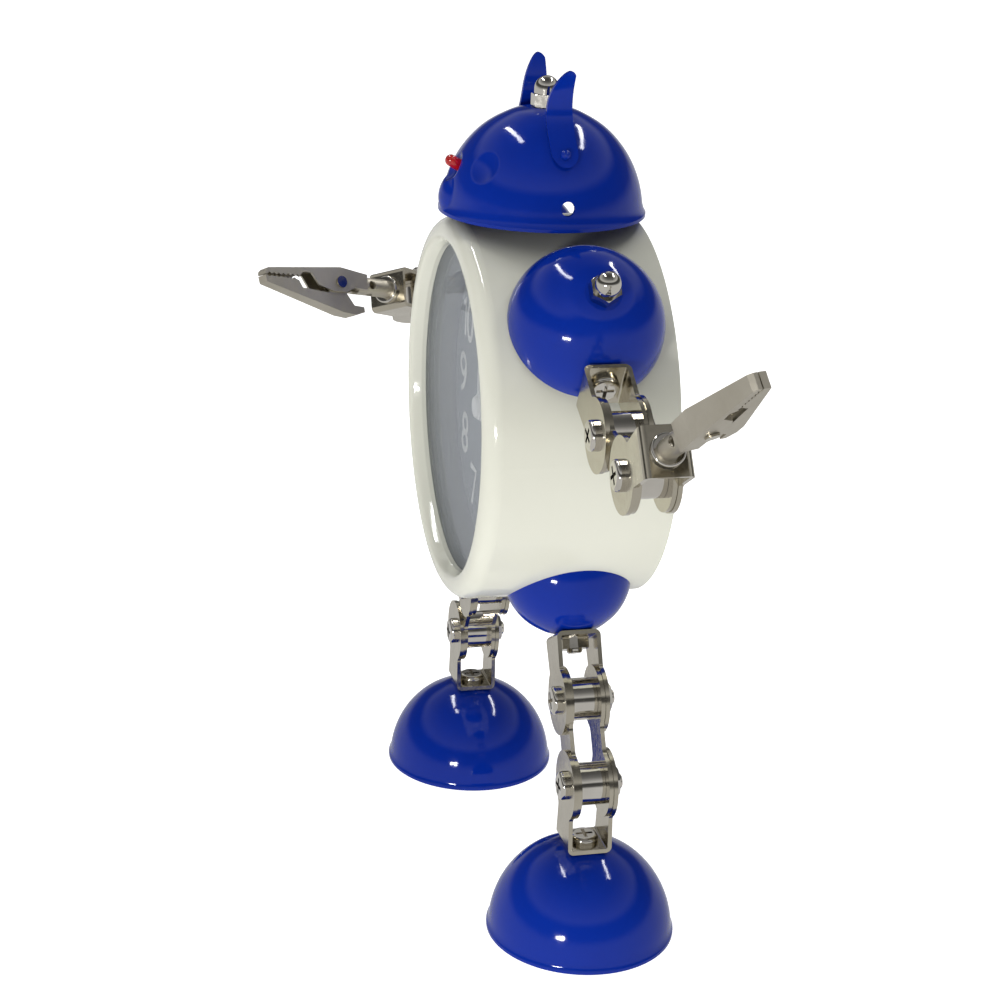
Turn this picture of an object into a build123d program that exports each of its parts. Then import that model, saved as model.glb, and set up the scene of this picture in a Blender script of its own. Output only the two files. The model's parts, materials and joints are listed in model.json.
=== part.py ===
from build123d import *
import os
from math import acos, asin, cos, degrees, radians, sin, sqrt

os.makedirs("parts", exist_ok=True)

# A robot-shaped alarm clock. Millimetres and degrees, +Z up, floor at Z = 0.
# The dial faces -Y and the robot's left hand side is +X. The origin is on the floor, under the case.

# ---- sheet and fits ----
enamel_wall = 1.0            # wall of every enamelled dome
strap_wall = 1.1             # plate of the brackets and links
clip_wall = 0.7              # plate of the clips
face_gap = 0.05              # between flat faces that slide on each other
running_gap = 0.05           # radial, between a shaft and what turns on it
seat_gap = 0.03              # radial, between a screw and a piece that it holds still
body_gap = 0.3               # between curved faces of different bodies

# ---- case ----
case_radius = 50.0
case_depth = 49.0
case_wall = 1.2
front_round = 4.5            # radius of the rolled front edge
window_radius = 43.0
lip_depth = 3.2              # how far the lip rolls back behind the front plane
back_hem = 1.6               # the hem around the open back, inwards

# ---- dial side ----
lens_thickness = 1.8
lens_overlap = 2.5           # lens edge hidden behind the lip
ring_inner_radius = 41.0
dial_y = -11.8
dial_thickness = 0.8
post_radius = 0.9            # post that the hands turn on
hand_thickness = 0.5
hand_spacing = 0.75
hand_layers = {"alarm_hand": 1.4, "hour_hand": 2.4, "minute_hand": 3.4, "second_hand": 4.4}
hour_length, hour_width, hour_hub = 17.0, 3.0, 3.8
minute_length, minute_width, minute_hub = 24.0, 2.2, 3.8
second_length, second_width, second_hub = 26.0, 0.9, 3.4
alarm_length, alarm_width, alarm_hub = 12.0, 1.2, 2.8
hour_angle, minute_angle, second_angle, alarm_angle = 95.0, 60.0, -3.0, 150.0

# ---- back side ----
back_recess = 2.0
cover_thickness = 2.0
movement_size = 56.0
movement_wall = 1.5
battery_radius, battery_length = 7.25, 50.5
battery_drop = 21.5          # battery centre below the case centre
tray_floor = 0.8
battery_room = 0.2           # between the battery and its door
door_margin, door_thickness = 2.25, 1.2      # how far the door reaches past the battery
door_travel = 5.0
knob_radius, knob_height, knob_ribs = 6.5, 4.6, 24
knob_stem_radius = 2.0
knob_spread, knob_rise = 13.0, 12.0
switch_width, switch_height, switch_travel = 7.0, 4.0, 6.0
switch_rise = 30.0
sound_slots, sound_slot_width, sound_slot_pitch = 5, 1.6, 3.6
back_screw_pitch_radius = 43.5

# ---- hardware: M4 ----
thread_radius = 2.0
pan_radius, pan_height = 3.75, 1.8
cross_length, cross_width, cross_depth = 4.4, 0.9, 1.1
nut_across_flats, nut_height, thin_nut_height = 7.0, 3.2, 2.2
cap_nut_height = 7.7
thread_end = 1.1             # thread standing out of a nut
post_tube_radius = 4.0       # tubes that hold the domes off the case

# ---- head ----
head_radius, head_height = 25.7, 26.4
head_lip, head_lip_height = 0.8, 4.0
head_lift = 2.1              # rim above the top of the case
head_seat = 4.6
side_hole_radius, side_hole_rise = 1.75, 5.6
muzzle_radius, muzzle_rise, muzzle_out = 8.0, 3.6, 18.9
eye_socket_radius, eye_socket_rise, eye_socket_turn = 12.0, 13.5, 34.0
eye_socket_depth = 1.0
nose_radius, nose_length, nose_rise, nose_tilt = 1.5, 7.2, 11.4, 31.0
nose_flange_radius, nose_flange_height = 1.95, 1.0
nose_depth = 1.9             # depth of the dent round the nose
nose_dent_radius = 5.0
face_fillet = 1.6            # rounding where the dents meet the dome

# ---- ears ----
ear_wall = 1.2
ear_width = 6.8
ear_foot_rise, ear_bend_rise, ear_tip_rise = 15.2, 20.5, 38.0
ear_tip_reach = 15.6         # tip's distance from the centre plane
ear_rivet_radius, ear_rivet_rise = 1.3, 18.0

# ---- shoulders and hips ----
shoulder_radius, shoulder_height = 19.4, 17.6
shoulder_angle, shoulder_y = 40.0, 2.0
shoulder_seat = 4.6
arm_mount_angle = 67.5       # bracket's direction, off the shoulder's own axis
pad_radius, pad_thickness = 4.6, 1.6          # flat pad under the arm's bracket
hip_radius, hip_angle = 16.7, -59.5
hip_rise = 10.8              # hip's top above the wall of the case
hip_skirt = 4.6              # how far the hip's rim wraps down the case
hip_seat = 4.6
left_hip_y, right_hip_y = 5.0, -2.0

# ---- feet ----
foot_radius, foot_height = 24.0, 24.0
foot_lip, foot_lip_height = 0.5, 4.0
foot_seat = 4.6

# ---- brackets and links ----
roller_length, roller_radius = 7.0, 5.5
link_pitch = 21.75
link_lobe, link_waist = 8.7, 9.6
bracket_reach = 17.2         # outside of the base to the pin
bracket_lobe = 9.0
bracket_depth, bracket_neck = 12.0, 9.2
bend_radius = 1.6

# ---- arms at rest ----
left_elbow, left_wrist = -21.7, -63.8       # link, then fore bracket, off the upper bracket
right_elbow, right_wrist = 44.6, 133.6
right_arm_turn = 90.0                        # the right upper bracket is turned on its screw

# ---- clips ----
clip_length = 42.5
clip_barrel_radius, clip_barrel_length = 2.6, 10.0
clip_root_width, clip_nose_width = 6.6, 3.6
clip_pivot_z, clip_pivot_x = 17.5, 0.4
clip_rivet_radius, clip_rivet_head, clip_rivet_cap = 1.0, 1.7, 0.5
clip_teeth, clip_tooth_pitch, clip_tooth_depth = 7, 1.5, 0.6
clip_jaw_width = 5.0
clip_spring_radius, clip_spring_wire = 2.2, 0.6
wire_hole_radius, wire_hole_z = 1.2, 5.6
eyelet_radius, eyelet_height = 4.0, 1.2
clip_bends = {"left": 8.0, "right": 15.0}      # how far the jaws lean off the wrist's axis
clip_leans = {"left": 0.0, "right": 90.0}      # which way they lean, from the wrist's pin
clip_turns = {"left": 11.0, "right": 180.0}   # which way the mouth opens, from the wrist's pin

# ---- places worked out from the sizes above ----
bracket_width = roller_length + 4 * strap_wall + 4 * face_gap
link_gap = roller_length + 2 * face_gap
hip_reach = case_radius + hip_rise
leg_reach = hip_reach + face_gap + bracket_reach + link_pitch
foot_x = leg_reach * cos(radians(hip_angle))
case_z = foot_height + face_gap + bracket_reach - leg_reach * sin(radians(hip_angle))
case_centre = Vector(0, 0, case_z)
case_plane = Plane(origin=case_centre, x_dir=(1, 0, 0), z_dir=(0, 0, 1))
case_axis = Axis(case_centre, (0, 1, 0))
front_y, back_y = -case_depth / 2, case_depth / 2
head_rim_z = case_z + case_radius + head_lift
lens_y = front_y + lip_depth + case_wall + face_gap
ring_y = lens_y + lens_thickness + face_gap
cover_y = back_y - back_recess
inner_radius = case_radius - case_wall


def save(piece, name):
    """Label a finished piece and write its STEP file."""
    piece.part.label = name
    export_step(piece.part, f"parts/{name}.step")


def limb_plane(origin, direction, pin):
    """A plane with local +Z along the limb and local +Y along the pin."""
    return Plane(origin=origin, x_dir=pin.cross(direction), z_dir=direction)


def turned(vector, axis, angle):
    """A direction turned about another one by the right-hand rule."""
    return vector.rotate(Axis((0, 0, 0), axis), angle)


def dome_outline(radius, height, seat, lip, lip_height):
    """Half section of a dome: a lip, an elliptical curve and a small flat seat on top."""
    top_turn = acos(seat / radius)
    semi_height = height / sin(top_turn)
    low_turn = asin(lip_height / semi_height)
    steps = 6
    turns = [low_turn + (top_turn - low_turn) * step / steps for step in range(steps + 1)]
    points = [(radius * cos(turn), semi_height * sin(turn)) for turn in turns]
    slopes = [(-radius * sin(turn), semi_height * cos(turn)) for turn in (low_turn, top_turn)]
    with BuildLine() as line:
        curve = Spline(*points, tangents=slopes)
        Polyline(curve @ 1, (0, height), (0, 0), (radius + lip, 0))
        if lip:
            edge = Line((radius + lip, 0), (radius + lip, enamel_wall * 0.8))
            Spline(edge @ 1, curve @ 0, tangents=[(-0.8, 1), curve % 0])
    return line.line


def dome_form(radius, height, seat, lip=0.0, lip_height=0.0):
    """The outside of a dome as a solid, with an optional flared lip."""
    with BuildPart() as form:
        with BuildSketch(Plane.XZ):
            with BuildLine():
                add(dome_outline(radius, height, seat, lip, lip_height))
            make_face()
        revolve(axis=Axis.Z)
    return form.part


def dome(radius, height, seat, gap, lip=0.0, lip_height=0.0):
    """A pressed dome standing on its rim, with its screw hole in the top."""
    with BuildPart() as shell:
        add(dome_form(radius, height, seat, lip, lip_height))
        add(dome_form(radius - enamel_wall, height - enamel_wall, seat), mode=Mode.SUBTRACT)
        with Locations((0, 0, height)):
            Hole(thread_radius + gap, depth=2 * enamel_wall)
    return shell.part


def pan_screw(length):
    """A pan-head screw: the head hangs below Z = 0 and the thread goes up."""
    with BuildPart() as screw:
        with Locations((0, 0, -pan_height / 2)):
            Cylinder(pan_radius, pan_height)
        fillet(screw.edges().group_by(Axis.Z)[0], radius=pan_height * 0.55)
        with Locations((0, 0, length / 2)):
            Cylinder(thread_radius, length)
        chamfer(screw.edges().group_by(Axis.Z)[-1], length=0.35)
        with Locations((0, 0, cross_depth / 2 - pan_height)):
            Box(cross_length, cross_width, cross_depth, mode=Mode.SUBTRACT)
            Box(cross_width, cross_length, cross_depth, mode=Mode.SUBTRACT)
    return screw.part


def hex_nut(height):
    """A hexagon nut standing on Z = 0, with both ends chamfered."""
    with BuildPart() as nut:
        with BuildSketch():
            RegularPolygon(nut_across_flats / 2, 6, major_radius=False)
        extrude(amount=height)
        with BuildSketch(Plane.XZ):
            with BuildLine():
                corner = nut_across_flats / sqrt(3)
                Polyline((0, 0), (corner - 0.35, 0), (corner, 0.25), (corner, height - 0.25),
                         (corner - 0.35, height), (0, height), close=True)
            make_face()
        revolve(axis=Axis.Z, mode=Mode.INTERSECT)
        with Locations((0, 0, height)):
            Hole(thread_radius + seat_gap, depth=height)
    return nut.part


def cap_nut():
    """An acorn nut: a hexagon under a round cap, blind-bored."""
    cap_radius = 0.45 * nut_across_flats
    with BuildPart() as nut:
        add(hex_nut(nut_height))
        with BuildSketch(Plane.XZ):
            with BuildLine():
                Polyline((0, 0.5), (cap_radius, 0.5), (cap_radius, cap_nut_height - cap_radius))
                CenterArc((0, cap_nut_height - cap_radius), cap_radius, 0, 90)
                Line((0, cap_nut_height), (0, 0.5))
            make_face()
        revolve(axis=Axis.Z)
        with Locations((0, 0, cap_nut_height / 2 - cap_radius / 2)):
            Cylinder(thread_radius + seat_gap, cap_nut_height - cap_radius, mode=Mode.SUBTRACT)
    return nut.part


def bracket(base_hole_radius):
    """A U-shaped end bracket: base on Z = 0, two cheeks with round ends, pin along Y."""
    with BuildPart() as strap:
        with BuildSketch(Plane.XZ) as cheek:
            with BuildLine():
                Polyline((-bracket_depth / 2, 0), (-bracket_neck / 2, bracket_reach),
                         (bracket_neck / 2, bracket_reach), (bracket_depth / 2, 0), close=True)
            make_face()
            with Locations((0, bracket_reach)):
                Circle(bracket_lobe)
            necks = cheek.vertices().filter_by_position(Axis.Y, bracket_reach / 4, bracket_reach - 1)
            fillet(necks, 1.3)
        extrude(amount=bracket_width / 2, both=True)
        fillet(strap.edges().filter_by(Axis.X).group_by(Axis.Z)[0], radius=bend_radius)
        with BuildSketch(Plane.YZ) as channel:
            with Locations((0, strap_wall + bracket_reach)):
                Rectangle(bracket_width - 2 * strap_wall, 2 * bracket_reach)
            fillet(channel.vertices().group_by(Axis.Y)[0], bend_radius - strap_wall)
        extrude(amount=2 * bracket_lobe, both=True, mode=Mode.SUBTRACT)
        with Locations((0, 0, strap_wall)):
            Hole(base_hole_radius, depth=strap_wall)
        with Locations(Plane(origin=(0, 0, bracket_reach), z_dir=(0, 1, 0))):
            Cylinder(thread_radius + seat_gap, 2 * bracket_width, mode=Mode.SUBTRACT)
    return strap.part


def link_plates():
    """The two inner plates of a link, from its first pin on Z = 0 to its second one."""
    with BuildPart() as plates:
        with BuildSketch(Plane.XZ) as side:
            with Locations((0, 0), (0, link_pitch)):
                Circle(link_lobe)
            with Locations((0, link_pitch / 2)):
                Rectangle(link_waist, link_pitch)
            fillet(side.vertices().filter_by_position(Axis.Y, 2, link_pitch - 2), 2.2)
        extrude(amount=link_gap / 2 + strap_wall, both=True)
        with Locations((0, 0, link_pitch / 2)):
            Box(4 * link_lobe, link_gap, 3 * link_pitch, mode=Mode.SUBTRACT)
        for height in (0, link_pitch):
            with Locations(Plane(origin=(0, 0, height), z_dir=(0, 1, 0))):
                Cylinder(thread_radius + running_gap, 2 * bracket_width, mode=Mode.SUBTRACT)
    return plates.part


def rollers():
    """The two spacer rollers of a link."""
    with BuildPart() as pair:
        for height in (0, link_pitch):
            with Locations(Plane(origin=(0, 0, height), z_dir=(0, 1, 0))):
                Cylinder(roller_radius, roller_length)
                Cylinder(thread_radius + running_gap, roller_length, mode=Mode.SUBTRACT)
    return pair.part


def pin_set():
    """A bracket's pin: a pan-head screw from the -Y side and a thin nut on the +Y side."""
    with BuildPart() as pin:
        with Locations(Plane(origin=(0, -bracket_width / 2, bracket_reach), z_dir=(0, 1, 0))):
            add(pan_screw(bracket_width + thin_nut_height + thread_end))
        with Locations(Plane(origin=(0, bracket_width / 2, bracket_reach), z_dir=(0, 1, 0))):
            add(hex_nut(thin_nut_height))
    return pin.part


def base_screw_set(wall):
    """The screw through a bracket's base and a dome's wall, with its nut behind the wall."""
    with BuildPart() as screw:
        with Locations(Plane(origin=(0, 0, strap_wall), z_dir=(0, 0, -1))):
            add(pan_screw(strap_wall + wall + nut_height + thread_end))
        with Locations(Plane(origin=(0, 0, -wall - 2 * face_gap), z_dir=(0, 0, -1))):
            add(hex_nut(nut_height))
    return screw.part


# =====================================================================================
# Case
# =====================================================================================
head_direction = Vector(0, 0, 1)
shoulder_directions, hip_directions = {}, {}
for side, sign in (("left", 1), ("right", -1)):
    shoulder_directions[side] = Vector(
        sign * cos(radians(shoulder_angle)), 0, sin(radians(shoulder_angle)))
    hip_directions[side] = Vector(sign * cos(radians(hip_angle)), 0, sin(radians(hip_angle)))
hip_y = {"left": left_hip_y, "right": right_hip_y}
bolt_lines = [(0, head_direction)]
bolt_lines += [(shoulder_y, shoulder_directions[side]) for side in ("left", "right")]
bolt_lines += [(hip_y[side], hip_directions[side]) for side in ("left", "right")]


def case_point(y, direction, reach):
    """A point at this depth, that far from the case's axis along a direction."""
    return case_centre + Vector(0, y, 0) + direction * reach


with BuildPart() as case_shell:
    with BuildSketch(case_plane):
        with BuildLine():
            crest = case_radius - front_round
            lip_y = front_y + lip_depth
            Line((case_radius, back_y), (case_radius, front_y + front_round))
            RadiusArc((case_radius, front_y + front_round), (crest, front_y), front_round)
            Spline((crest, front_y), (window_radius, lip_y), tangents=[(-1, 0), (-0.35, 1)])
            Polyline((window_radius, lip_y), (window_radius, lip_y + case_wall),
                     (inner_radius - front_round / 2, lip_y + case_wall),
                     (inner_radius, front_y + front_round + case_wall),
                     (inner_radius, back_y - case_wall),
                     (inner_radius - back_hem, back_y - case_wall),
                     (inner_radius - back_hem, back_y), (case_radius, back_y))
        make_face()
    revolve(axis=case_axis)
    for depth, direction in bolt_lines:
        with Locations(Plane(origin=case_point(depth, direction, case_radius), z_dir=direction)):
            Cylinder(thread_radius + seat_gap, 4 * case_wall, mode=Mode.SUBTRACT)
save(case_shell, "case_shell")


def dial_plane_at(y):
    """A plane across the case at this depth, facing back."""
    return Plane(origin=case_centre + Vector(0, y, 0), x_dir=(1, 0, 0), z_dir=(0, 1, 0))


with BuildPart() as lens:
    with BuildSketch(dial_plane_at(lens_y)):
        Circle(window_radius + lens_overlap)
    extrude(amount=lens_thickness)
    chamfer(lens.edges().filter_by(GeomType.CIRCLE).group_by(Axis.Y)[0], length=0.3)
save(lens, "lens")

dial_outer_radius = inner_radius - body_gap
with BuildPart() as dial_ring:
    with BuildSketch(dial_plane_at(ring_y)):
        Circle(dial_outer_radius)
        Circle(ring_inner_radius, mode=Mode.SUBTRACT)
    extrude(amount=dial_y - ring_y)
save(dial_ring, "dial_ring")

movement_y = dial_y + dial_thickness
movement_boss_radius = 4.5
with BuildPart() as dial:
    with BuildSketch(dial_plane_at(dial_y)):
        Circle(dial_outer_radius)
        Circle(movement_boss_radius + seat_gap, mode=Mode.SUBTRACT)
    extrude(amount=dial_thickness)
save(dial, "dial")

# ---- movement with its battery tray ----
battery_y = cover_y - door_thickness - battery_room - battery_radius
movement_back_y = battery_y - battery_radius - body_gap - tray_floor
movement_depth = movement_back_y - movement_y
tray_depth = cover_y - cover_thickness - movement_back_y
contact_space = 4.0          # at each end of the battery, the tray's wall included
tray_width = battery_length + 2 * contact_space
tray_height = 2 * battery_radius + 2 * movement_wall + 0.6
post_end_y = dial_y - hand_spacing * hand_layers["second_hand"] + face_gap
with BuildPart(Plane(origin=case_centre, x_dir=(-1, 0, 0), z_dir=(0, 1, 0))) as movement_case:
    with Locations((0, 0, movement_y + movement_depth / 2)):
        Box(movement_size, movement_size, movement_depth)
    fillet(movement_case.edges().filter_by(Axis.Y), radius=3.0)
    with Locations((0, 0, (movement_y + dial_y - 0.4) / 2)):
        Cylinder(movement_boss_radius, movement_y - dial_y + 0.4)
    with Locations((0, 0, (movement_y + post_end_y) / 2)):
        Cylinder(post_radius, movement_y - post_end_y)
    with Locations((0, -battery_drop, movement_back_y)):
        Box(tray_width, tray_height, tray_depth, align=(Align.CENTER, Align.CENTER, Align.MIN))
    with Locations((0, -battery_drop, movement_back_y + tray_floor)):
        Box(tray_width - 2 * movement_wall, tray_height - 2 * movement_wall, tray_depth,
            align=(Align.CENTER, Align.CENTER, Align.MIN), mode=Mode.SUBTRACT)
save(movement_case, "movement_case")

battery_place = case_centre + Vector(0, battery_y, -battery_drop)
with BuildPart(Plane(origin=battery_place, z_dir=(1, 0, 0))) as battery:
    Cylinder(battery_radius, battery_length - 1.4)
    with Locations((0, 0, battery_length / 2 - 0.7)):
        Cylinder(2.6, 1.4)
    fillet(battery.edges().filter_by(GeomType.CIRCLE).sort_by(SortBy.LENGTH)[-2:], radius=0.5)
save(battery, "battery")

contact_x = tray_width / 2 - movement_wall - 0.3
with BuildPart() as battery_contacts:
    for end in (-1, 1):
        with Locations((end * contact_x, battery_y, case_z - battery_drop)):
            Box(0.4, 9.0, 11.0)
    coil_length = contact_x - 0.2 - battery_length / 2 + 0.7
    with Locations(Plane(origin=(-battery_length / 2 + 0.7 - coil_length / 2 + 0.05, battery_y,
                                 case_z - battery_drop), z_dir=(1, 0, 0))):
        Cylinder(3.0, coil_length - 0.15)
save(battery_contacts, "battery_contacts")

# ---- back cover, its door, switch, knobs and screws ----
cover_plane = Plane(origin=case_centre + Vector(0, cover_y - cover_thickness, 0),
                    x_dir=(-1, 0, 0), z_dir=(0, 1, 0))
cover_radius = inner_radius - back_hem - 0.4
door_middle = -battery_drop
door_width = tray_width - 0.5
door_height = 2 * (battery_radius + door_margin)
knob_places = {"time_knob": (-knob_spread, knob_rise), "alarm_knob": (knob_spread, knob_rise)}
with BuildPart(cover_plane) as back_cover:
    Cylinder(cover_radius, cover_thickness, align=(Align.CENTER, Align.CENTER, Align.MIN))
    with Locations((0, door_middle - door_travel / 2, cover_thickness - door_thickness / 2)):
        Box(door_width + 0.4, door_height + door_travel + 0.4, door_thickness, mode=Mode.SUBTRACT)
    with Locations((0, door_middle, 0)):
        Box(tray_width - 2 * movement_wall, 2 * battery_radius + 0.6, 4 * cover_thickness,
            mode=Mode.SUBTRACT)
    with Locations(*[(x, y, cover_thickness) for x, y in knob_places.values()]):
        Hole(knob_stem_radius + running_gap, depth=cover_thickness)
    with Locations((0, switch_rise, cover_thickness / 2)):
        Box(switch_width + switch_travel + 2, switch_height * 0.6, 2 * cover_thickness,
            mode=Mode.SUBTRACT)
    for index in range(sound_slots):
        with Locations((0, 2.0 + sound_slot_pitch * (index - 2), cover_thickness / 2)):
            Box(9.0, sound_slot_width, 2 * cover_thickness, mode=Mode.SUBTRACT)
    with PolarLocations(back_screw_pitch_radius, 3, start_angle=90):
        Cylinder(1.3 + seat_gap, 4 * cover_thickness, mode=Mode.SUBTRACT)
save(back_cover, "back_cover")

with BuildPart(cover_plane) as battery_door:
    with Locations((0, door_middle, cover_thickness - door_thickness / 2 + face_gap / 2)):
        Box(door_width, door_height, door_thickness - face_gap)
    fillet(battery_door.edges().filter_by(Axis.Y), radius=1.0)
    for index in range(4):
        with Locations((0, door_middle + door_height / 2 - 3.0 - 1.6 * index, cover_thickness + 0.25)):
            Box(14.0, 0.7, 0.5)
save(battery_door, "battery_door")

for name, (x, y) in knob_places.items():
    with BuildPart(cover_plane) as knob:
        with Locations((x, y, cover_thickness + face_gap + knob_height / 2)):
            Cylinder(knob_radius, knob_height)
        fillet(knob.edges().filter_by(GeomType.CIRCLE).sort_by(Axis.Y)[-1], radius=0.8)
        with Locations((x, y, cover_thickness + knob_height / 2 + face_gap)):
            with PolarLocations(knob_radius, knob_ribs):
                Cylinder(0.35, knob_height, mode=Mode.SUBTRACT)
        stem_length = cover_y - movement_back_y - face_gap
        with Locations((x, y, cover_thickness + face_gap - stem_length / 2)):
            Cylinder(knob_stem_radius, stem_length)
    save(knob, name)

with BuildPart(cover_plane) as alarm_switch:
    with Locations((-switch_travel / 2, switch_rise, cover_thickness + face_gap + 0.6)):
        Box(switch_width, switch_height, 1.2)
    for index in range(3):
        with Locations((-switch_travel / 2 + 1.8 * (index - 1), switch_rise,
                        cover_thickness + face_gap + 1.4)):
            Box(0.8, switch_height, 0.5)
    with Locations((-switch_travel / 2, switch_rise, face_gap)):
        Box(switch_width * 0.6, switch_height * 0.6 - 2 * face_gap, 2 * cover_thickness)
save(alarm_switch, "alarm_switch")

with BuildPart(cover_plane) as back_screws:
    with PolarLocations(back_screw_pitch_radius, 3, start_angle=90):
        with Locations((0, 0, cover_thickness + 0.7)):
            Cylinder(2.4, 1.4)
        with Locations((0, 0, cover_thickness - 4.0)):
            Cylinder(1.3, 8.0)
        with Locations((0, 0, cover_thickness + 1.4)):
            Box(2.8, 0.6, 1.2, mode=Mode.SUBTRACT)
            Box(0.6, 2.8, 1.2, mode=Mode.SUBTRACT)
save(back_screws, "back_screws")


# ---- hands ----
def hand(name, length, width, hub, angle, cap=0.0):
    """A flat hand on the post; 0 points up, and a positive angle is clockwise on the dial."""
    turn = radians(angle)
    top = Plane(origin=case_centre + Vector(0, dial_y - hand_spacing * hand_layers[name], 0),
                x_dir=(cos(turn), 0, -sin(turn)), z_dir=(0, -1, 0))
    with BuildPart() as piece:
        with BuildSketch(top):
            Circle(hub)
            with BuildLine():
                Polyline((-width / 2, 0), (-width / 2, length - width), (0, length),
                         (width / 2, length - width), (width / 2, 0), close=True)
            make_face()
        extrude(amount=-hand_thickness)
        if cap:
            with BuildSketch(top):
                Circle(hub * 0.85)
            extrude(amount=cap)
            chamfer(piece.edges().filter_by(GeomType.CIRCLE).sort_by(Axis.Y)[0], length=0.3)
        with BuildSketch(top):
            Circle(post_radius + running_gap)
        extrude(amount=-hand_thickness - 1.0, mode=Mode.SUBTRACT)
    save(piece, name)


hand("alarm_hand", alarm_length, alarm_width, alarm_hub, alarm_angle)
hand("hour_hand", hour_length, hour_width, hour_hub, hour_angle)
hand("minute_hand", minute_length, minute_width, minute_hub, minute_angle)
hand("second_hand", second_length, second_width, second_hub, second_angle, cap=0.9)

# ---- bolts, spacer tubes, nuts ----
shoulder_rim = case_radius + body_gap
bolt_seat = sqrt(inner_radius ** 2 - pan_radius ** 2)     # where a flat head rests in the round case
outer_ends = [case_radius + head_lift + head_height]
outer_ends += [shoulder_rim + shoulder_height] * 2
with BuildPart() as body_bolts:
    for (depth, direction), end in zip(bolt_lines[:3], outer_ends):
        with Locations(Plane(origin=case_point(depth, direction, bolt_seat), z_dir=direction)):
            add(pan_screw(end - bolt_seat + cap_nut_height - 0.45 * nut_across_flats - 0.3))
    for depth, direction in bolt_lines[3:]:
        with Locations(Plane(origin=case_point(depth, direction, bolt_seat), z_dir=direction)):
            add(pan_screw(hip_reach - bolt_seat + strap_wall + nut_height + thread_end))
save(body_bolts, "body_bolts")

with BuildPart() as spacer_tubes:
    for (depth, direction), end in zip(bolt_lines[:3], outer_ends):
        length = end - enamel_wall - face_gap - case_radius
        with Locations(Plane(origin=case_point(depth, direction, case_radius), z_dir=direction)):
            Cylinder(post_tube_radius, length, align=(Align.CENTER, Align.CENTER, Align.MIN))
            Cylinder(thread_radius + seat_gap, 3 * length, mode=Mode.SUBTRACT)
save(spacer_tubes, "spacer_tubes")

with BuildPart() as body_nuts:
    for (depth, direction), end in zip(bolt_lines[:3], outer_ends):
        with Locations(Plane(origin=case_point(depth, direction, end + face_gap), z_dir=direction)):
            add(cap_nut())
    for depth, direction in bolt_lines[3:]:
        nut_place = case_point(depth, direction, hip_reach + strap_wall + 2 * face_gap)
        with Locations(Plane(origin=nut_place, z_dir=direction)):
            add(hex_nut(nut_height))
save(body_nuts, "body_nuts")

# ---- hip domes: their rims are cut to the curve of the case ----
hip_base = case_radius - hip_skirt
with BuildPart() as hip_domes:
    for side in ("left", "right"):
        base = case_point(hip_y[side], hip_directions[side], hip_base)
        with Locations(Plane(origin=base, z_dir=hip_directions[side])):
            add(dome(hip_radius, hip_reach - hip_base, hip_seat, seat_gap))
    with Locations(Plane(origin=case_centre, z_dir=(0, 1, 0))):
        Cylinder(case_radius, 2 * case_depth, mode=Mode.SUBTRACT)
save(hip_domes, "hip_domes")

# =====================================================================================
# Head
# =====================================================================================
head_plane = Plane(origin=(0, 0, head_rim_z), x_dir=(1, 0, 0), z_dir=(0, 0, 1))
head_semi_height = head_height / sin(acos(head_seat / head_radius))


def dome_reach(rise):
    """Outside radius of the head at this height over its rim."""
    return head_radius * sqrt(1 - (rise / head_semi_height) ** 2)


def face_dents(extra):
    """The dents of the face, as balls: one for the nose and one for each eye."""
    with BuildPart() as dents:
        nose_dent_reach = dome_reach(nose_rise) + nose_dent_radius - nose_depth
        with Locations((0, -nose_dent_reach, nose_rise + 1.5)):
            Sphere(nose_dent_radius + extra)
        reach = dome_reach(eye_socket_rise) + (eye_socket_radius - eye_socket_depth) * 0.86
        for turn in (-eye_socket_turn, eye_socket_turn):
            along = radians(-90 + turn)
            with Locations((reach * cos(along), reach * sin(along),
                            eye_socket_rise + (eye_socket_radius - eye_socket_depth) * 0.5)):
                Sphere(eye_socket_radius + extra)
    return dents.part


with BuildPart() as head_hollow:
    add(dome_form(head_radius - enamel_wall, head_height - enamel_wall, head_seat))
    add(face_dents(enamel_wall), mode=Mode.SUBTRACT)

with BuildPart() as head_form:
    add(dome_form(head_radius, head_height, head_seat, head_lip, head_lip_height))
    with Locations((0, -muzzle_out, muzzle_rise)):
        Sphere(muzzle_radius)
    with Locations((0, 0, -muzzle_radius)):
        Box(4 * head_radius, 4 * head_radius, 2 * muzzle_radius, mode=Mode.SUBTRACT)
    smooth_edges = head_form.edges()
    add(face_dents(0), mode=Mode.SUBTRACT)
    fillet(head_form.edges() - smooth_edges, face_fillet)
    add(head_hollow.part, mode=Mode.SUBTRACT)

nose_out = dome_reach(nose_rise) - nose_depth
nose_direction = Vector(0, -cos(radians(nose_tilt)), sin(radians(nose_tilt)))
nose_point = Vector(0, -nose_out, head_rim_z + nose_rise)
with BuildPart() as head_cut:
    add(head_form.part)
    with Locations(Plane(origin=(0, 0, side_hole_rise), z_dir=(1, 0, 0))):
        Cylinder(side_hole_radius, 4 * head_radius, mode=Mode.SUBTRACT)
    with Locations(Plane(origin=nose_point - head_plane.origin, z_dir=nose_direction)):
        Cylinder(nose_radius + seat_gap, 4 * enamel_wall, mode=Mode.SUBTRACT)
    with Locations((0, 0, head_height)):
        Cylinder(thread_radius + running_gap, 6 * enamel_wall, mode=Mode.SUBTRACT)

with BuildPart(head_plane) as head_shell:
    add(head_cut.part)
save(head_shell, "head_shell")

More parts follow.
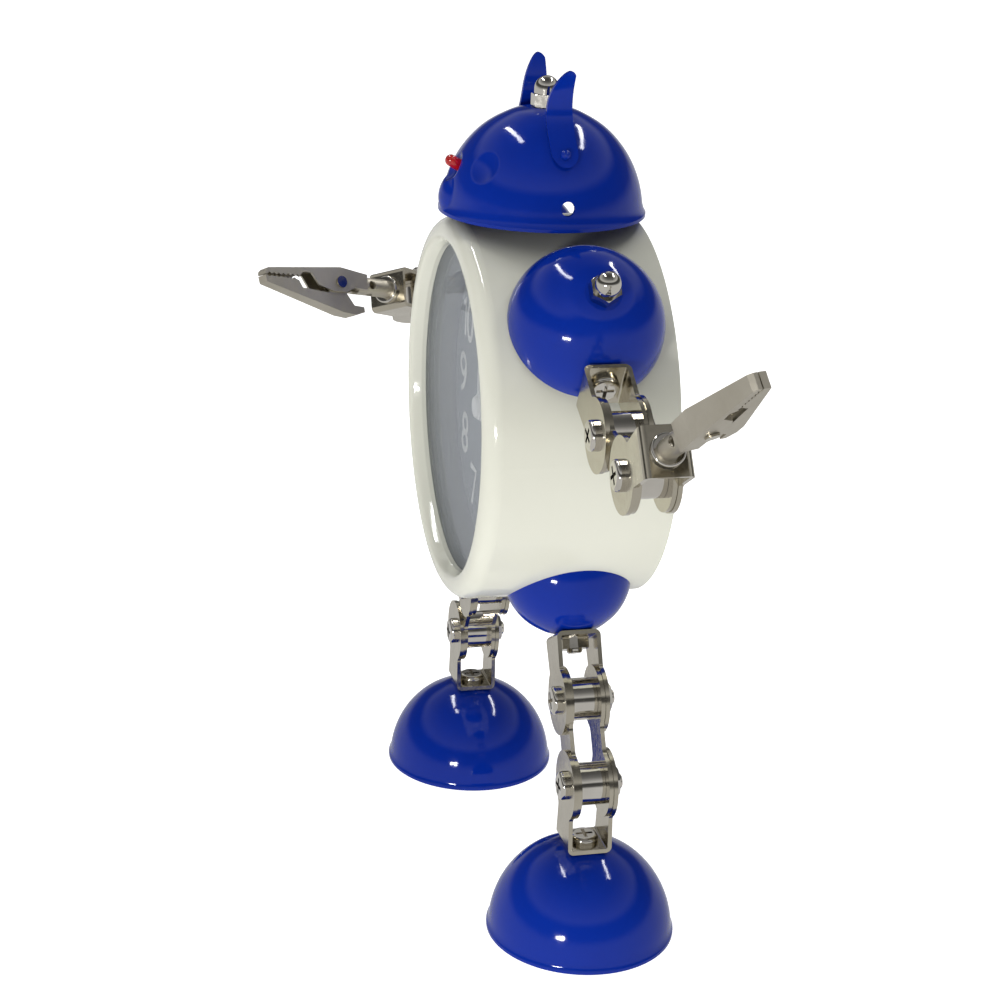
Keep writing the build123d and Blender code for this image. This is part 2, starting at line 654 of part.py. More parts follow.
with BuildPart(Plane(origin=nose_point, z_dir=nose_direction)) as nose_led:
    back = -enamel_wall - 0.6
    nose_barrel = nose_length - nose_radius - nose_flange_height
    with Locations((0, 0, back)):
        Cylinder(nose_flange_radius, nose_flange_height,
                 align=(Align.CENTER, Align.CENTER, Align.MAX))
        Cylinder(nose_radius, nose_barrel, align=(Align.CENTER, Align.CENTER, Align.MIN))
    with Locations((0, 0, back + nose_barrel)):
        Sphere(nose_radius)
    for lead in (-1.0, 1.0):
        with Locations((0, lead, back - nose_flange_height)):
            Box(0.5, 0.5, 6.0, align=(Align.CENTER, Align.CENTER, Align.MAX))
save(nose_led, "nose_led")

with BuildPart() as ear_pair:
    for sign in (-1, 1):
        with BuildSketch(Plane.XZ.offset(-ear_width)):
            with BuildLine():
                low = (ear_foot_rise, ear_rivet_rise, ear_bend_rise)
                line = [(sign * (dome_reach(rise) + face_gap), rise) for rise in low]
                line.append((sign * ear_tip_reach, ear_tip_rise))
                inside = Spline(*line)
                outside = Spline(*[(x + sign * ear_wall, z) for x, z in line])
                Line(inside @ 0, outside @ 0)
                Line(inside @ 1, outside @ 1)
            make_face()
        extrude(amount=2 * ear_width)
    with BuildSketch(Plane.YZ.offset(-2 * head_radius)):
        with BuildLine():
            half = ear_width / 2
            back_edge = Line((half, ear_foot_rise + half), (half * 0.92, ear_tip_rise - 1.6))
            front_edge = Spline(back_edge @ 1, (half * 0.55, ear_tip_rise - 0.4),
                                (-half * 0.40, ear_tip_rise - 3.6), (-half * 0.88, ear_tip_rise - 8.5),
                                (-half, ear_bend_rise + 4.0))
            front_line = Line(front_edge @ 1, (-half, ear_foot_rise + half))
            ThreePointArc(front_line @ 1, (0, ear_foot_rise), back_edge @ 0)
        make_face()
    extrude(amount=4 * head_radius, mode=Mode.INTERSECT)
    for sign in (-1, 1):
        with Locations((sign * (dome_reach(ear_rivet_rise) + ear_wall + 0.3), 0, ear_rivet_rise)):
            Sphere(ear_rivet_radius)
    add(dome_form(head_radius + face_gap, head_height, head_seat), mode=Mode.SUBTRACT)

with BuildPart(head_plane) as ears:
    add(ear_pair.part)
save(ears, "ears")


# =====================================================================================
# Clips. Local frame: +Z along the jaws, +X the way the mouth opens, Y along the rivet.
# =====================================================================================
tooth_start = clip_length - 0.6 - clip_teeth * clip_tooth_pitch
jaw_stock = 3 * clip_root_width      # thicker than any jaw, trimmed to the plan outline


def tooth_line(base, depth):
    """Points of a row of teeth, from the nose backwards."""
    points = []
    for index in range(clip_teeth):
        z = clip_length - 0.6 - index * clip_tooth_pitch
        points += [(base, z), (base + depth, z - clip_tooth_pitch / 2)]
    return points


def jaw(outline, root_width, nose_width, start):
    """A solid jaw: its side outline, trimmed to a plan that is wide at the root."""
    with BuildPart() as block:
        with BuildSketch(Plane.XZ.offset(-jaw_stock / 2)):
            with BuildLine():
                Polyline(*outline, close=True)
            make_face()
        extrude(amount=jaw_stock)
        with BuildSketch(Plane.YZ.offset(-jaw_stock / 2)):
            with BuildLine():
                Polyline((-root_width / 2, start), (-root_width / 2, clip_pivot_z),
                         (-nose_width / 2, clip_length), (nose_width / 2, clip_length),
                         (root_width / 2, clip_pivot_z), (root_width / 2, start), close=True)
            make_face()
        extrude(amount=jaw_stock, mode=Mode.INTERSECT)
    return block.part


fixed_roof = [(-clip_barrel_radius, 8.0), (-3.9, clip_pivot_z),
              (-1.9, clip_length - 1.0), (-1.0, clip_length)]
fixed_outline = fixed_roof + [(-face_gap, clip_length)] + tooth_line(-face_gap, -clip_tooth_depth)
fixed_outline += [(-face_gap, tooth_start), (-1.7, tooth_start - 1.4), (-1.5, tooth_start - 4.2),
                  (1.8, tooth_start - 6.5), (3.2, clip_pivot_z + 2.6), (3.2, clip_pivot_z - 1.8),
                  (1.6, clip_pivot_z - 5.0), (1.8, 8.0)]
fixed_core = [(x + clip_wall, z - clip_wall * (z > clip_pivot_z + 1)) for x, z in fixed_roof]
fixed_core += [(6.0, clip_length - clip_wall), (6.0, 8.0)]
with BuildPart() as fixed_jaw:
    add(jaw(fixed_outline, clip_root_width, clip_nose_width, 0))
    add(jaw(fixed_core, clip_root_width - 2 * clip_wall, clip_nose_width - 2 * clip_wall,
            clip_barrel_length + 1), mode=Mode.SUBTRACT)
    with Locations((0, 0, clip_barrel_length / 2)):
        Cylinder(clip_barrel_radius, clip_barrel_length)
    with Locations((0, 0, clip_barrel_length)):
        Hole(clip_barrel_radius - clip_wall, depth=clip_barrel_length - 2.0)
    for across in ((0, 1, 0), (1, 0, 0)):
        with Locations(Plane(origin=(0, 0, wire_hole_z), z_dir=across)):
            Cylinder(wire_hole_radius, 4 * clip_barrel_radius, mode=Mode.SUBTRACT)
    with Locations(Plane(origin=(clip_pivot_x, 0, clip_pivot_z), z_dir=(0, 1, 0))):
        Cylinder(clip_rivet_radius + seat_gap, 2 * clip_root_width, mode=Mode.SUBTRACT)
    Sphere(clip_barrel_radius)

jaw_floor = [(2.2, clip_length - 0.4), (8.9, clip_pivot_z - 1.0), (9.3, 12.4), (8.3, 9.0)]
moving_outline = jaw_floor + [(6.8, 9.2), (6.6, 12.6), (3.4, clip_pivot_z - 2.4),
                              (clip_pivot_x - 1.3, clip_pivot_z - 1.6), (clip_pivot_x - 1.9, clip_pivot_z),
                              (clip_pivot_x - 1.3, clip_pivot_z + 1.6), (3.6, clip_pivot_z + 4.0),
                              (2.9, tooth_start - 1.2), (0.9, tooth_start)]
moving_outline += list(reversed(tooth_line(0.25, 0.45))) + [(0.25, clip_length)]
moving_core = [(x - clip_wall, z - clip_wall * (z > clip_pivot_z)) for x, z in jaw_floor]
moving_core += [(3.0, 7.0), (-4.0, 7.0), (-4.0, clip_length - clip_wall)]
with BuildPart() as moving_jaw:
    add(jaw(moving_outline, clip_jaw_width, clip_nose_width, 0))
    add(jaw(moving_core, clip_jaw_width - 2 * clip_wall, clip_nose_width - 2 * clip_wall, 0),
        mode=Mode.SUBTRACT)
    with Locations(Plane(origin=(clip_pivot_x, 0, clip_pivot_z), z_dir=(0, 1, 0))):
        Cylinder(clip_rivet_radius + running_gap, 2 * clip_root_width, mode=Mode.SUBTRACT)

pivot_line = Plane(origin=(clip_pivot_x, 0, clip_pivot_z), z_dir=(0, 1, 0))
with BuildPart(pivot_line) as jaw_rivet:
    Cylinder(clip_rivet_radius, clip_root_width + 2 * face_gap)
    for end in (-1, 1):
        with Locations((0, 0, end * (clip_root_width / 2 + face_gap + clip_rivet_cap / 2))):
            Cylinder(clip_rivet_head, clip_rivet_cap)

spring_length = clip_jaw_width - 2 * clip_wall - 0.4
spring_turns = int(spring_length / clip_spring_wire)
with BuildPart(pivot_line) as jaw_spring:
    for index in range(spring_turns):
        with Locations((0, 0, (index - (spring_turns - 1) / 2) * clip_spring_wire)):
            Torus(clip_spring_radius - clip_spring_wire, clip_spring_wire / 2 + 0.02)

# ---- eyelet that holds the clip in the wrist bracket ----
stem_radius = clip_barrel_radius
eyelet_bore = stem_radius + running_gap
eyelet_tube = eyelet_bore + 0.5
with BuildPart() as eyelet:
    with Locations((0, 0, -eyelet_height / 2)):
        Cylinder(eyelet_radius, eyelet_height)
    fillet(eyelet.edges().group_by(Axis.Z)[0], radius=0.5)
    with Locations((0, 0, strap_wall / 2)):
        Cylinder(eyelet_tube, strap_wall)
    with Locations((0, 0, strap_wall + 0.25)):
        Cylinder(eyelet_tube + 0.4, 0.5)
    Cylinder(eyelet_bore, 6 * eyelet_height, mode=Mode.SUBTRACT)

stem_inside = strap_wall + 0.5 + face_gap
with BuildPart() as clip_stem:
    with Locations((0, 0, (stem_inside - eyelet_height - 1.0) / 2)):
        Cylinder(stem_radius, stem_inside + eyelet_height + 1.0)
    with Locations((0, 0, stem_inside + 0.4)):
        Cylinder(eyelet_tube + 0.3, 0.8)


# =====================================================================================
# Arms
# =====================================================================================
def arm_frames(side):
    """Origins and directions of an arm's pieces, from the shoulder to the clip."""
    sign = 1 if side == "left" else -1
    axis = shoulder_directions[side]
    down = Vector(sign * sin(radians(shoulder_angle)), 0, -cos(radians(shoulder_angle)))
    semi_height = shoulder_height / sin(acos(shoulder_seat / shoulder_radius))
    along, across = cos(radians(arm_mount_angle)), sin(radians(arm_mount_angle))
    scale = sqrt((shoulder_radius * across) ** 2 + (semi_height * along) ** 2)
    mount_out = shoulder_radius ** 2 * across / scale
    mount_up = semi_height ** 2 * along / scale
    rim = case_point(shoulder_y, axis, shoulder_rim)
    normal = axis * along + down * across
    mount = rim + axis * mount_up + down * mount_out
    base = mount + normal * face_gap
    if side == "left":
        pin, elbow, wrist = Vector(0, 1, 0), left_elbow, left_wrist
    else:
        pin = turned(Vector(0, 1, 0), normal, right_arm_turn)
        pin = pin if pin.Z > 0 else pin * -1
        elbow, wrist = right_elbow, right_wrist
    upper_pin = base + normal * bracket_reach
    link = turned(normal, pin, elbow)
    fore_pin = upper_pin + link * link_pitch
    fore = turned(normal, pin, wrist)
    palm = fore_pin + fore * bracket_reach
    return {"axis": axis, "rim": rim, "mount": mount, "base": base, "normal": normal, "pin": pin,
            "upper_pin": upper_pin, "link": link, "fore_pin": fore_pin, "fore": fore, "palm": palm}


def clip_frame(side, frames):
    """The clip's bend point, jaw direction and mouth direction."""
    fore = frames["fore"]
    mouth = turned(frames["pin"], fore, clip_turns[side])
    lean = turned(frames["pin"], fore, clip_leans[side])
    jaws = fore * cos(radians(clip_bends[side])) + lean * sin(radians(clip_bends[side]))
    mouth = (mouth - jaws * mouth.dot(jaws)).normalized()
    bend = frames["palm"] + fore * (eyelet_height + 1.0)
    return bend, jaws, mouth


arms = {side: arm_frames(side) for side in ("left", "right")}
clips = {side: clip_frame(side, arms[side]) for side in ("left", "right")}
for side, frames in arms.items():
    shoulder_plane = Plane(origin=frames["rim"], z_dir=frames["axis"])
    mount_plane = limb_plane(frames["mount"], frames["normal"], frames["pin"])
    upper_plane = limb_plane(frames["base"], frames["normal"], frames["pin"])
    link_plane = limb_plane(frames["upper_pin"], frames["link"], frames["pin"])
    palm_plane = limb_plane(frames["palm"], frames["fore"] * -1, frames["pin"])
    bend, jaws, mouth = clips[side]
    clip_plane = Plane(origin=bend, x_dir=mouth, z_dir=jaws)

    with BuildPart() as shoulder_dome:
        with Locations(shoulder_plane):
            add(dome(shoulder_radius, shoulder_height, shoulder_seat, running_gap))
        with Locations(mount_plane):
            Cylinder(pad_radius, pad_thickness, align=(Align.CENTER, Align.CENTER, Align.MAX))
            Cylinder(thread_radius + running_gap, 6 * enamel_wall, mode=Mode.SUBTRACT)
    save(shoulder_dome, f"{side}_shoulder_dome")

    with BuildPart(upper_plane) as upper_bracket:
        add(bracket(thread_radius + seat_gap))
    save(upper_bracket, f"{side}_upper_bracket")

    with BuildPart(upper_plane) as upper_fasteners:
        add(pin_set())
        add(base_screw_set(pad_thickness))
    save(upper_fasteners, f"{side}_upper_fasteners")

    with BuildPart(link_plane) as arm_links:
        add(link_plates())
    save(arm_links, f"{side}_arm_link_plates")

    with BuildPart(link_plane) as arm_rollers:
        add(rollers())
    save(arm_rollers, f"{side}_arm_rollers")

    with BuildPart(palm_plane) as fore_bracket:
        add(bracket(eyelet_tube + seat_gap))
    save(fore_bracket, f"{side}_fore_bracket")

    with BuildPart(palm_plane) as fore_fasteners:
        add(pin_set())
        add(eyelet.part)
    save(fore_fasteners, f"{side}_fore_fasteners")

    with BuildPart() as bent_clip:
        add(clip_stem.part)
        with Locations(palm_plane.location.inverse() * clip_plane.location):
            add(fixed_jaw.part)

    with BuildPart(palm_plane) as clip_body:
        add(bent_clip.part)
    save(clip_body, f"{side}_clip_body")

    with BuildPart(clip_plane) as clip_jaw:
        add(moving_jaw.part)
    save(clip_jaw, f"{side}_clip_jaw")

    with BuildPart(clip_plane) as clip_rivet:
        add(jaw_rivet.part)
    save(clip_rivet, f"{side}_clip_rivet")

    with BuildPart(clip_plane) as clip_spring:
        add(jaw_spring.part)
    save(clip_spring, f"{side}_clip_spring")

# =====================================================================================
# Legs
# =====================================================================================
for side, sign in (("left", 1), ("right", -1)):
    pin = Vector(0, 1, 0)
    direction = hip_directions[side]
    hip_top = case_point(hip_y[side], direction, hip_reach + face_gap)
    knee = hip_top + direction * bracket_reach
    foot_place = Vector(sign * foot_x, hip_y[side], 0)
    foot_top = foot_place + Vector(0, 0, foot_height + face_gap)
    hip_plane = limb_plane(hip_top, direction, pin)
    link_plane = limb_plane(knee, direction, pin)
    ankle_plane = limb_plane(foot_top, Vector(0, 0, 1), pin)

    with BuildPart(hip_plane) as hip_bracket:
        add(bracket(thread_radius + running_gap))
    save(hip_bracket, f"{side}_hip_bracket")

    with BuildPart(hip_plane) as knee_pin:
        add(pin_set())
    save(knee_pin, f"{side}_knee_pin")

    with BuildPart(link_plane) as leg_links:
        add(link_plates())
    save(leg_links, f"{side}_leg_link_plates")

    with BuildPart(link_plane) as leg_rollers:
        add(rollers())
    save(leg_rollers, f"{side}_leg_rollers")

    with BuildPart(ankle_plane) as foot_bracket:
        add(bracket(thread_radius + seat_gap))
    save(foot_bracket, f"{side}_foot_bracket")

    with BuildPart(ankle_plane) as foot_fasteners:
        add(pin_set())
        add(base_screw_set(enamel_wall))
    save(foot_fasteners, f"{side}_foot_fasteners")

    with BuildPart(Plane(origin=foot_place)) as foot_dome:
        add(dome(foot_radius, foot_height, foot_seat, running_gap, foot_lip, foot_lip_height))
    save(foot_dome, f"{side}_foot_dome")
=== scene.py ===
import json
from math import cos, pi, radians, sin

import bpy
from mathutils import Matrix, Vector


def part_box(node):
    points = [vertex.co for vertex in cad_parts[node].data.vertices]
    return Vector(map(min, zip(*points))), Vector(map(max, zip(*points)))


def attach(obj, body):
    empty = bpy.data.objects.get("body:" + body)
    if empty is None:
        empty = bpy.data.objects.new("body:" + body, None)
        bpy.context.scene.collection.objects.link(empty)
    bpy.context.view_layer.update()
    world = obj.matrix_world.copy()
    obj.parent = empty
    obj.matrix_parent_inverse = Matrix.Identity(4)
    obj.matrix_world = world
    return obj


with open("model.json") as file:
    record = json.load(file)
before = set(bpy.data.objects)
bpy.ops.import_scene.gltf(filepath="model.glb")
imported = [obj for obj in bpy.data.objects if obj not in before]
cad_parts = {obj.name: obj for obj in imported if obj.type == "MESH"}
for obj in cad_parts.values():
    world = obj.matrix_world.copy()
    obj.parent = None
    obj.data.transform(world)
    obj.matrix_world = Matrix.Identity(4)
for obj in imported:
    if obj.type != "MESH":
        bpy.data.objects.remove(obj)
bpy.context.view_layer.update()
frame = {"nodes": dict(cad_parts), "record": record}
nodes = frame["nodes"]

MM = 0.001


# ---------------------------------------------------------------------------
# Camera: the photograph's angle, distance and tilt
# ---------------------------------------------------------------------------
def photo_camera():
    azimuth, elevation, roll = radians(75.87), radians(19.90), radians(2.18)
    distance = 502.08 * MM
    target = Vector((57.87, -22.46, 122.38)) * MM
    back = Vector((sin(azimuth) * cos(elevation), -cos(azimuth) * cos(elevation), sin(elevation)))
    level = Vector((cos(azimuth), sin(azimuth), 0))
    upright = back.cross(level)
    right = level * cos(roll) + upright * sin(roll)
    up = upright * cos(roll) - level * sin(roll)
    data = bpy.data.cameras.new("photo_camera")
    data.sensor_width = 36.0
    data.lens = 76.14
    camera = bpy.data.objects.new("photo_camera", data)
    turn = Matrix((right, up, back)).transposed().to_4x4()
    camera.matrix_world = Matrix.Translation(target + back * distance) @ turn
    bpy.context.scene.collection.objects.link(camera)
    bpy.context.scene.camera = camera


# ---------------------------------------------------------------------------
# Materials
# ---------------------------------------------------------------------------
def material(name):
    """A new node material: its tree, its shader and its object coordinates."""
    made = bpy.data.materials.new(name)
    made.use_nodes = True
    tree = made.node_tree
    shader = tree.nodes["Principled BSDF"]
    place = tree.nodes.new("ShaderNodeTexCoord")
    return made, tree, shader, place.outputs["Object"]


def noise(tree, place, scale, detail=3.0, stretch=(1, 1, 1)):
    """Noise at this many features per metre; stretch makes it streaky along an axis."""
    mapping = tree.nodes.new("ShaderNodeMapping")
    mapping.inputs["Scale"].default_value = stretch
    tree.links.new(place, mapping.inputs["Vector"])
    texture = tree.nodes.new("ShaderNodeTexNoise")
    texture.inputs["Scale"].default_value = scale
    texture.inputs["Detail"].default_value = detail
    tree.links.new(mapping.outputs["Vector"], texture.inputs["Vector"])
    return texture.outputs["Fac"]


def ramp(tree, value, stops):
    """A colour ramp from (position, grey or colour) stops."""
    node = tree.nodes.new("ShaderNodeValToRGB")
    ends = node.color_ramp.elements
    while len(ends) < len(stops):
        ends.new(0.5)
    for element, (position, colour) in zip(ends, stops):
        element.position = position
        element.color = (*colour, 1) if isinstance(colour, tuple) else (colour, colour, colour, 1)
    tree.links.new(value, node.inputs["Fac"])
    return node.outputs["Color"]


def bump(tree, shader, heights):
    """Stacks bumps on the shader from (height value, strength, depth in metres)."""
    last = None
    for height, strength, depth in heights:
        node = tree.nodes.new("ShaderNodeBump")
        node.inputs["Strength"].default_value = strength
        node.inputs["Distance"].default_value = depth
        tree.links.new(height, node.inputs["Height"])
        if last is not None:
            tree.links.new(last.outputs["Normal"], node.inputs["Normal"])
        last = node
    tree.links.new(last.outputs["Normal"], shader.inputs["Normal"])


def enamel(name, colour, shade, gloss):
    """Baked gloss enamel: a faint orange peel, slight colour drift and dust-fine roughness."""
    made, tree, shader, place = material(name)
    drift = noise(tree, place, 22)
    tree.links.new(ramp(tree, drift, [(0.3, shade), (0.7, colour)]), shader.inputs["Base Color"])
    grain = noise(tree, place, 1500, 4)
    tree.links.new(ramp(tree, grain, [(0.3, 0.05), (0.75, 0.12)]), shader.inputs["Roughness"])
    bump(tree, shader, [(noise(tree, place, 260, 2), 0.05, 0.0004), (grain, 0.02, 0.0001)])
    shader.inputs["Specular IOR Level"].default_value = gloss
    return made


def plated(name, colour, shade, low=0.12, high=0.30, streak=(1, 1, 1)):
    """Nickel plate over pressed steel: cloudy tarnish, fine scratches and a slightly wavy face."""
    made, tree, shader, place = material(name)
    cloud = noise(tree, place, 70, 3)
    tree.links.new(ramp(tree, cloud, [(0.30, shade), (0.70, colour)]), shader.inputs["Base Color"])
    scratch = noise(tree, place, 700, 5, streak)
    tree.links.new(ramp(tree, scratch, [(0.35, low), (0.75, high)]), shader.inputs["Roughness"])
    bump(tree, shader, [(noise(tree, place, 90, 2), 0.06, 0.0006), (scratch, 0.02, 0.0001)])
    shader.inputs["Metallic"].default_value = 1.0
    return made


def plastic(name, colour, shade, rough=0.5, texture_scale=2500, depth=0.00015):
    """Moulded plastic with a fine spark-eroded texture."""
    made, tree, shader, place = material(name)
    drift = noise(tree, place, 40)
    tree.links.new(ramp(tree, drift, [(0.35, shade), (0.65, colour)]), shader.inputs["Base Color"])
    grain = noise(tree, place, texture_scale, 3)
    roughness = ramp(tree, grain, [(0.3, rough - 0.07), (0.7, rough + 0.07)])
    tree.links.new(roughness, shader.inputs["Roughness"])
    bump(tree, shader, [(grain, 0.25, depth)])
    return made


def clear_glass():
    """Float glass: nearly clear, with a faint smear in its polish, under a grey film that is painted sheen
    standing in for the glass's reflection.
    """
    made, tree, shader, place = material("clear_glass")
    # Painted sheen: this grey colour, made 30 % opaque by the alpha below, stands in for the glass's
    # reflection over the dial.
    painted_sheen_film = ramp(tree, noise(tree, place, 30), [(0.3, (0.42, 0.46, 0.50)), (0.7, (0.46, 0.50, 0.54))])
    tree.links.new(painted_sheen_film, shader.inputs["Base Color"])
    smear = ramp(tree, noise(tree, place, 60), [(0.3, 0.015), (0.7, 0.05)])
    tree.links.new(smear, shader.inputs["Roughness"])
    shader.inputs["Alpha"].default_value = 0.30
    shader.inputs["IOR"].default_value = 1.6
    shader.inputs["Coat Weight"].default_value = 0.6
    return made


def red_lens():
    """The lamp's tinted clear epoxy."""
    made, tree, shader, place = material("red_lens")
    colour = ramp(tree, noise(tree, place, 500), [(0.3, (0.42, 0.0, 0.0)), (0.7, (0.62, 0.01, 0.005))])
    tree.links.new(colour, shader.inputs["Base Color"])
    tree.links.new(colour, shader.inputs["Emission Color"])
    polish = ramp(tree, noise(tree, place, 900), [(0.3, 0.05), (0.7, 0.12)])
    tree.links.new(polish, shader.inputs["Roughness"])
    shader.inputs["Emission Strength"].default_value = 0.08
    shader.inputs["Transmission Weight"].default_value = 0.5
    shader.inputs["Coat Weight"].default_value = 1.0
    return made


def battery_jacket():
    """A plain shrink sleeve, dark with a copper-coloured end band."""
    made, tree, shader, place = material("battery_jacket")
    split = tree.nodes.new("ShaderNodeSeparateXYZ")
    tree.links.new(place, split.inputs["Vector"])
    low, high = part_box("battery")
    shift = tree.nodes.new("ShaderNodeMapRange")
    shift.inputs["From Min"].default_value = low.x
    shift.inputs["From Max"].default_value = high.x
    tree.links.new(split.outputs["X"], shift.inputs["Value"])
    band = ramp(tree, shift.outputs["Result"], [(0.70, (0.03, 0.03, 0.03)), (0.72, (0.62, 0.30, 0.12))])
    tree.links.new(band, shader.inputs["Base Color"])
    shader.inputs["Roughness"].default_value = 0.3
    return made


MATERIALS = {
    "blue_enamel": enamel("blue_enamel", (0.002, 0.021, 0.26), (0.001, 0.016, 0.21), 0.30),
    "ivory_enamel": enamel("ivory_enamel", (0.60, 0.60, 0.52), (0.57, 0.57, 0.49), 0.5),
    "nickel_plate": plated("nickel_plate", (0.60, 0.56, 0.46), (0.50, 0.46, 0.37), 0.12, 0.24),
    "satin_nickel": plated("satin_nickel", (0.62, 0.58, 0.49), (0.54, 0.50, 0.41), 0.40, 0.52),
    "bright_nickel": plated("bright_nickel", (0.74, 0.71, 0.65), (0.62, 0.59, 0.53), 0.05, 0.14),
    "dark_steel": plated("dark_steel", (0.16, 0.16, 0.17), (0.10, 0.10, 0.11), 0.3, 0.45),
    "clear_glass": clear_glass(),
    "red_lens": red_lens(),
    "dial_card": plastic("dial_card", (0.135, 0.155, 0.185), (0.125, 0.145, 0.175), 0.45, 1800, 0.00005),
    "navy_card": plastic("navy_card", (0.020, 0.028, 0.060), (0.015, 0.022, 0.048), 0.45, 1800, 0.00005),
    "black_plastic": plastic("black_plastic", (0.022, 0.022, 0.024), (0.016, 0.016, 0.018), 0.5),
    "white_paint": plastic("white_paint", (0.80, 0.80, 0.78), (0.74, 0.74, 0.72), 0.4, 2500, 0.00005),
    "battery_jacket": battery_jacket(),
}

# Nodes that look different from the material slot that they share
OTHER_FINISHES = {
    "dial_ring": "navy_card",
    "right_clip_body": "satin_nickel",
    "right_clip_jaw": "satin_nickel",
    "left_clip_body": "satin_nickel",
    "left_clip_jaw": "satin_nickel",
}


def dress_cad_nodes():
    """Each CAD node takes its record slot's material, or a shade of it of its own."""
    for row in frame["record"]["subparts"]:
        node = nodes[row["node"]]
        made = MATERIALS[OTHER_FINISHES.get(row["node"], row["material_slot"])]
        if not node.data.materials:
            node.data.materials.append(made)
        for index in range(len(node.data.materials)):
            node.data.materials[index] = made


# ---------------------------------------------------------------------------
# Dial print: plain rounded numerals, drawn as round-ended strokes
# ---------------------------------------------------------------------------
DIGIT_WIDTH, NARROW_WIDTH, DIGIT_GAP = 0.60, 0.24, 0.20      # shares of a digit's height


def arc(centre, radii, start, end, steps=14):
    """Points along an ellipse, from one angle to another, in degrees."""
    turns = [radians(start + (end - start) * step / steps) for step in range(steps + 1)]
    return [(centre[0] + radii[0] * cos(turn), centre[1] + radii[1] * sin(turn)) for turn in turns]


def digit_strokes(digit):
    """A digit as open strokes in a cell one unit high, centred on zero and half as wide."""
    low, high, half = -0.5, 0.5, DIGIT_WIDTH / 2
    ring = (half, 0.24)
    drawn = {
        "0": [arc((0, 0), (half, high), 90, 450, 28)],
        "1": [[(-0.12, 0.34), (0.08, high), (0.08, low)]],
        "2": [arc((0, 0.26), ring, 165, -35) + [(-half, low), (half, low)]],
        "3": [arc((0, 0.26), ring, 150, -90) + arc((0, -0.24), (half, 0.26), 90, -150)],
        "4": [[(0.10, low), (0.10, high), (-half, -0.18), (half, -0.18)]],
        "5": [[(half * 0.8, high), (-half * 0.75, high), (-half * 0.85, 0.06)]
              + arc((0, -0.18), (half, 0.32), 130, -140)],
        "6": [arc((0, -0.24), (half, 0.26), 90, -270, 24),
              arc((half, -0.16), (2 * half, 0.66), 180, 105)],
        "7": [[(-half, high), (half, high), (-0.06, low)]],
        "8": [arc((0, 0.25), (half * 0.88, 0.25), -90, 270, 24),
              arc((0, -0.25), (half, 0.25), 90, 450, 24)],
        "9": [arc((0, 0.24), (half, 0.26), -90, 270, 24),
              arc((-half, 0.16), (2 * half, 0.66), 0, -75)],
    }
    return drawn[digit]


def digit_places(word):
    """Each digit of a number with its centre, so that the number is centred on zero."""
    widths = [NARROW_WIDTH if digit == "1" else DIGIT_WIDTH for digit in word]
    edge = -(sum(widths) + DIGIT_GAP * (len(word) - 1)) / 2
    for digit, width in zip(word, widths):
        yield digit, edge + width / 2
        edge += width + DIGIT_GAP


def dial_numerals():
    """The twelve hours: each is one curve of bevelled strokes that lie in the dial's face."""
    low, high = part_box("dial")
    centre = (low + high) / 2
    ring_radius, numeral_height, stroke = 32.0 * MM, 10.0 * MM, 0.90 * MM
    proud = 0.12 * MM
    for hour in range(1, 13):
        turn = radians(30 * hour)
        curve = bpy.data.curves.new(f"numeral_{hour}", "CURVE")
        curve.dimensions = "3D"
        curve.bevel_depth = stroke
        curve.bevel_resolution = 2
        for digit, shift in digit_places(str(hour)):
            for points in digit_strokes(digit):
                line = curve.splines.new("POLY")
                line.points.add(len(points) - 1)
                for point, (x, y) in zip(line.points, points):
                    point.co = ((x + shift) * numeral_height, y * numeral_height, 0, 1)
        curve.use_fill_caps = True
        curve.materials.append(MATERIALS["white_paint"])
        piece = bpy.data.objects.new(f"numeral_{hour}", curve)
        bpy.context.scene.collection.objects.link(piece)
        spot = Vector((centre.x + ring_radius * sin(turn), low.y, centre.z + ring_radius * cos(turn)))
        flat = Matrix.Diagonal((1, 1, proud / stroke, 1))
        piece.matrix_world = Matrix.Translation(spot) @ Matrix.Rotation(pi / 2, 4, "X") @ flat
        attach(piece, "case")


# ---------------------------------------------------------------------------
# Studio
# ---------------------------------------------------------------------------
CHEST = (0, 0, 0.12)


def studio_floor():
    mesh = bpy.data.meshes.new("floor")
    reach = 9.0
    corners = [(-reach, -reach, 0), (reach, -reach, 0), (reach, reach, 0), (-reach, reach, 0)]
    mesh.from_pydata(corners, [], [(0, 1, 2, 3)])
    floor = bpy.data.objects.new("floor", mesh)
    bpy.context.scene.collection.objects.link(floor)
    made, tree, shader, place = material("floor_paper")
    paper = ramp(tree, noise(tree, place, 3), [(0.3, 0.89), (0.7, 0.91)])
    tree.links.new(paper, shader.inputs["Base Color"])
    shader.inputs["Roughness"].default_value = 0.7
    shader.inputs["Emission Color"].default_value = (1, 1, 1, 1)
    shader.inputs["Emission Strength"].default_value = 0.72
    mesh.materials.append(made)
    floor.visible_glossy = False


def studio_wall():
    """A round white wall far behind everything, for the lens alone: it lights and shades nothing."""
    radius, height, sides = 8.5, 6.0, 48
    corners, faces = [], []
    for side in range(sides):
        turn = 2 * pi * side / sides
        corners += [(radius * cos(turn), radius * sin(turn), z) for z in (-0.01, height)]
        base, following = 2 * side, 2 * ((side + 1) % sides)
        faces.append((base, base + 1, following + 1, following))
    mesh = bpy.data.meshes.new("wall")
    mesh.from_pydata(corners, [], faces)
    wall = bpy.data.objects.new("wall", mesh)
    bpy.context.scene.collection.objects.link(wall)
    made, tree, shader, place = material("wall_paper")
    tree.links.new(ramp(tree, noise(tree, place, 1), [(0.3, 0.96), (0.7, 1.0)]), shader.inputs["Base Color"])
    shader.inputs["Emission Color"].default_value = (1, 1, 1, 1)
    shader.inputs["Emission Strength"].default_value = 1.2
    mesh.materials.append(made)
    wall.visible_diffuse = wall.visible_glossy = wall.visible_transmission = wall.visible_shadow = False


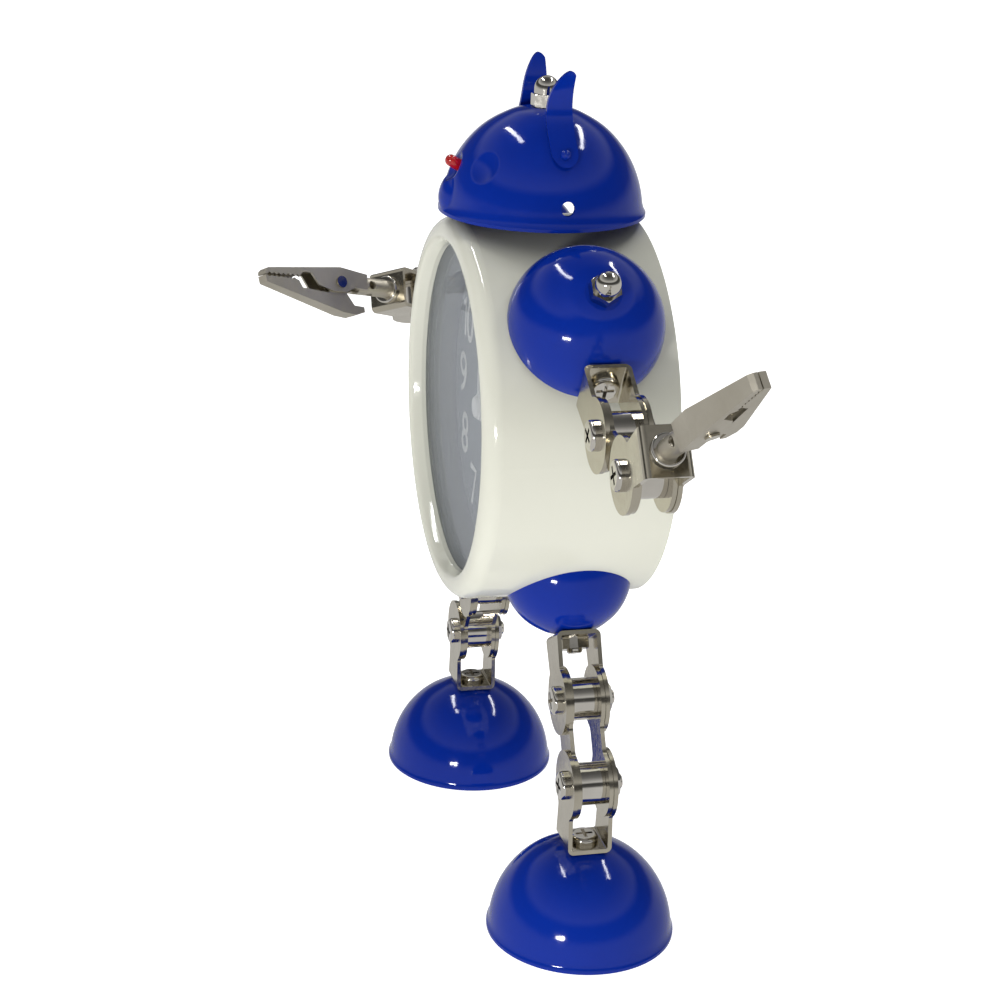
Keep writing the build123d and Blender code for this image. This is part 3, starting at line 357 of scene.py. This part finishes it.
def aim(obj, target, along):
    """Points a lamp's -Z at the target, with its width along a direction."""
    back = (obj.location - Vector(target)).normalized()
    side = (Vector(along) - back * back.dot(Vector(along))).normalized()
    turn = Matrix((side, back.cross(side), back)).transposed()
    obj.rotation_euler = turn.to_euler()


def soft_light(name, location, width, height, watts, along):
    """A rectangular lamp aimed at the chest."""
    data = bpy.data.lights.new(name, "AREA")
    data.shape = "RECTANGLE"
    data.size, data.size_y = width, height
    data.energy = watts
    light = bpy.data.objects.new(name, data)
    light.location = location
    bpy.context.scene.collection.objects.link(light)
    aim(light, CHEST, along)


def studio():
    """Two ceiling strips and a small front lamp for the highlights, and an even room."""
    studio_floor()
    studio_wall()
    soft_light("left_strip", (-0.34, -0.30, 1.01), 0.62, 0.05, 2.6, (1, 0, 0))
    soft_light("right_strip", (-0.20, 0.52, 0.96), 0.62, 0.05, 2.6, (1, 0, 0))
    soft_light("front_lamp", (0.73, -0.55, 0.14), 0.16, 0.06, 3.4, (0.6, 0.8, 0))
    data = bpy.data.lights.new("overhead", "SUN")
    data.energy = 0.7
    data.angle = radians(60)
    sun = bpy.data.objects.new("overhead", data)
    sun.location = (0.5, -0.3, 1.5)
    sun.visible_glossy = False
    bpy.context.scene.collection.objects.link(sun)
    aim(sun, (0, 0, 0), (1, 0, 0))
    world = bpy.data.worlds.new("studio")
    world.use_nodes = True
    bpy.context.scene.world = world
    tree = world.node_tree
    place = tree.nodes.new("ShaderNodeTexCoord")
    split = tree.nodes.new("ShaderNodeSeparateXYZ")
    tree.links.new(place.outputs["Generated"], split.inputs["Vector"])
    stops = [(0.0, 0.95), (0.05, 0.80), (0.16, 0.14), (0.40, 0.08),
             (0.52, 0.95), (0.80, 0.30), (1.0, 0.10)]
    sky = ramp(tree, split.outputs["Z"], stops)
    back = tree.nodes["Background"]
    tree.links.new(sky, back.inputs["Color"])
    back.inputs["Strength"].default_value = 0.62
    bpy.context.scene.view_settings.view_transform = "Standard"


photo_camera()
studio()
dress_cad_nodes()
dial_numerals()
